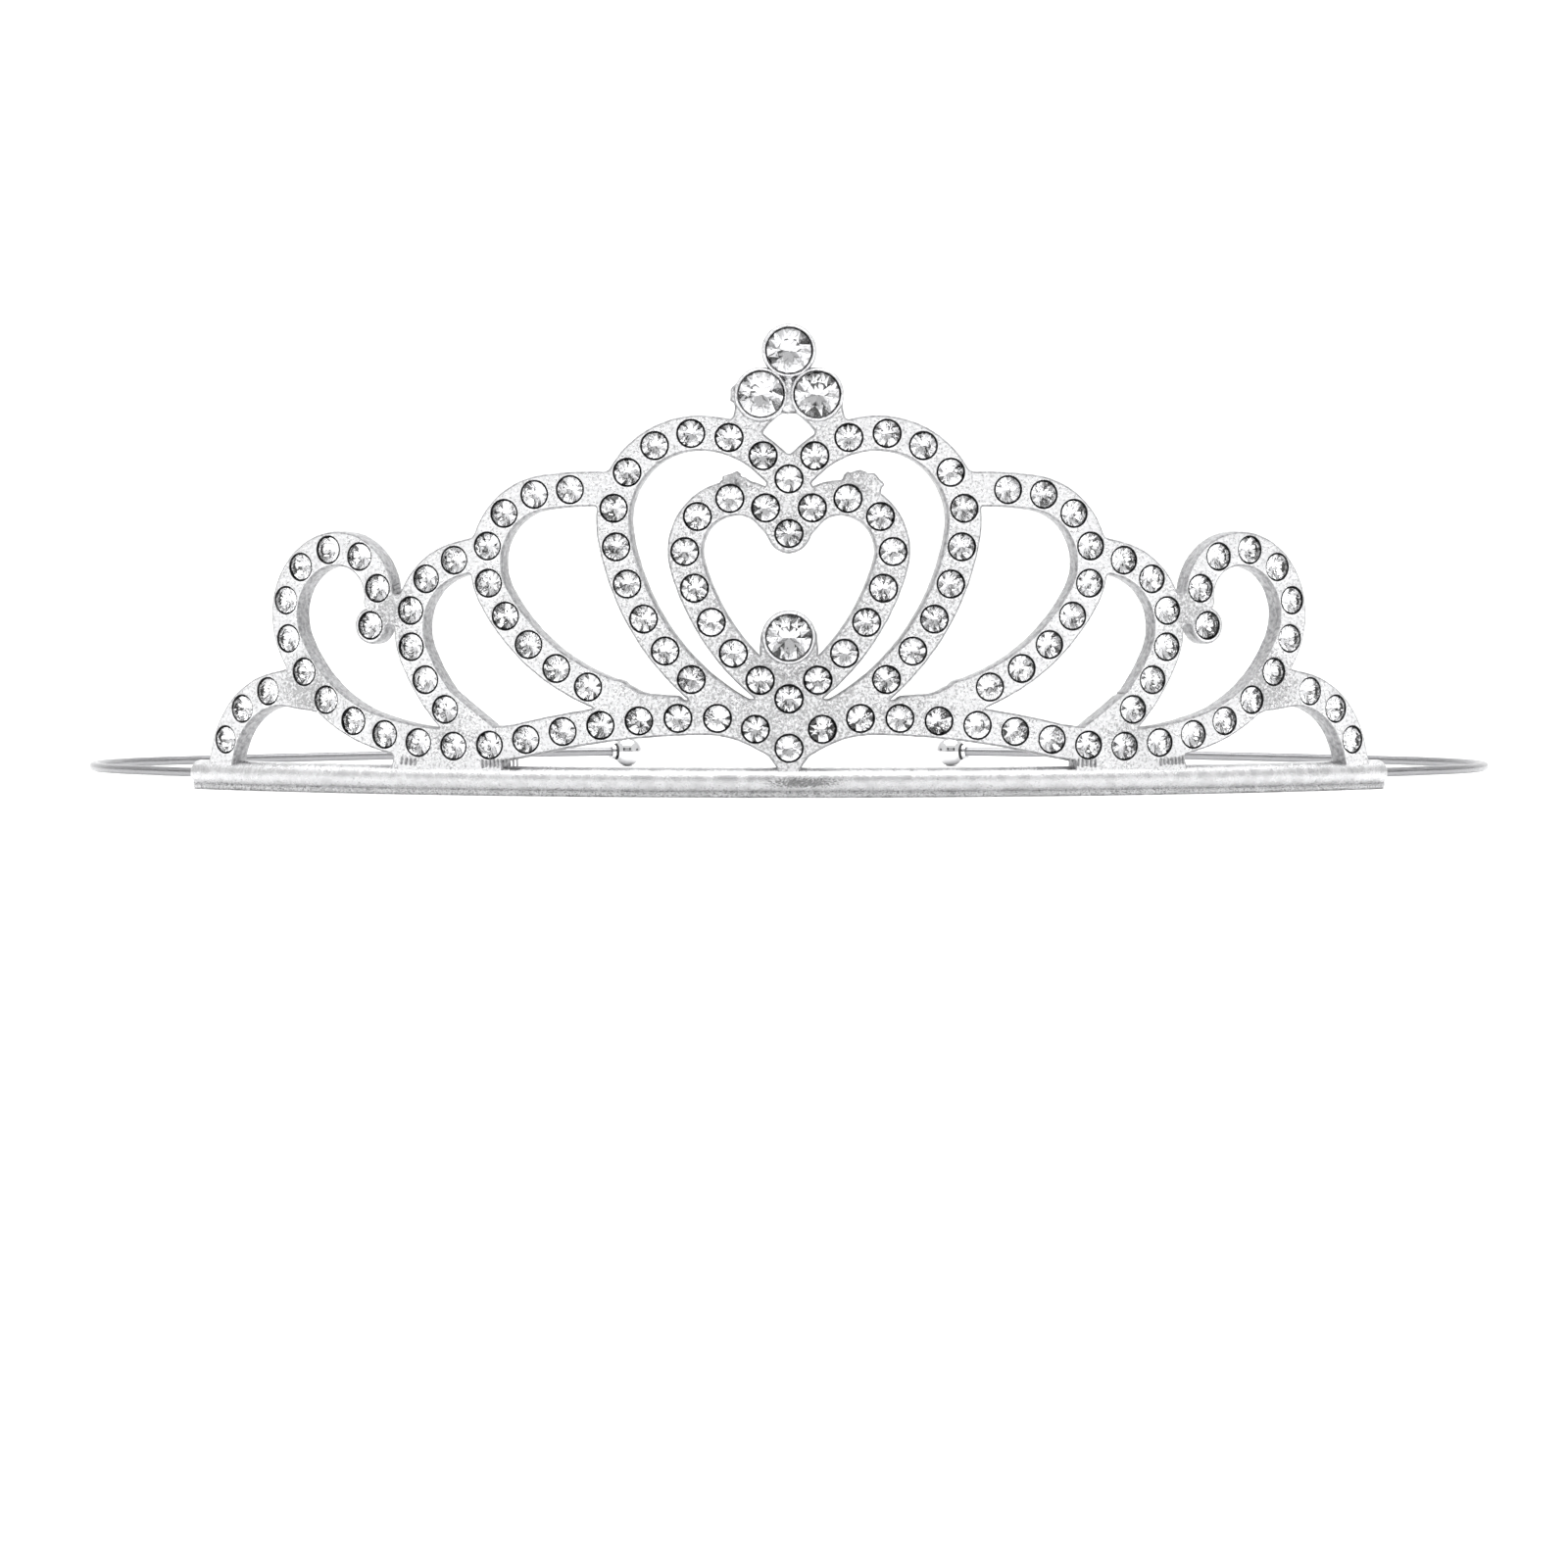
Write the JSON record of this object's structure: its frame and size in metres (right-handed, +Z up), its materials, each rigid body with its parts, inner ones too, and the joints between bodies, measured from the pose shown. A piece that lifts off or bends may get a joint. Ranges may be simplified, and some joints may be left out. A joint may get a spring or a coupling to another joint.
{
  "type": "crown headband",
  "caption": "Pierced silver crown with a central heart and scrolls, set with round clear stones, standing on a slim bar whose sprung wire runs round the head to two ball tips.",
  "frame": {"origin": "bottom centre of the part, level with the underside of the bar's lip and of both ball tips", "axes": "+Z up through the crown, -Y out of the forehead (the crown's face), +Y towards the open ends of the wire at the back of the head, X across the head, the left-right middle at x = 0"},
  "size_m": [0.1516, 0.1018, 0.0477],
  "materials": {
    "silver_plate": "bright silver plate over a fine-grained zinc casting",
    "spring_steel": "polished wire",
    "ball_chrome": "mirror polish",
    "crystal": "cut glass, foil-backed"
  },
  "bodies": {
    "root": {"crown_frame": "silver_plate", "headband_wire": "spring_steel", "ball_end_left": "ball_chrome", "ball_end_right": "ball_chrome", "apex_stone": "crystal", "crest_stone_left": "crystal", "crest_stone_right": "crystal", "heart_stone": "crystal", "arch_cusp_stone": "crystal", "heart_cusp_stone": "crystal", "heart_point_stone": "crystal", "rail_point_stone": "crystal", "great_arch_stones_left": "crystal", "great_arch_stones_right": "crystal", "heart_stones_left": "crystal", "heart_stones_right": "crystal", "second_arch_stones_left": "crystal", "second_arch_stones_right": "crystal", "third_arch_stones_left": "crystal", "third_arch_stones_right": "crystal", "rail_stones_left": "crystal", "rail_stones_right": "crystal", "scroll_stones_left": "crystal", "scroll_stones_right": "crystal", "foot_stones_left": "crystal", "foot_stones_right": "crystal"}
  },
  "joints": []
}
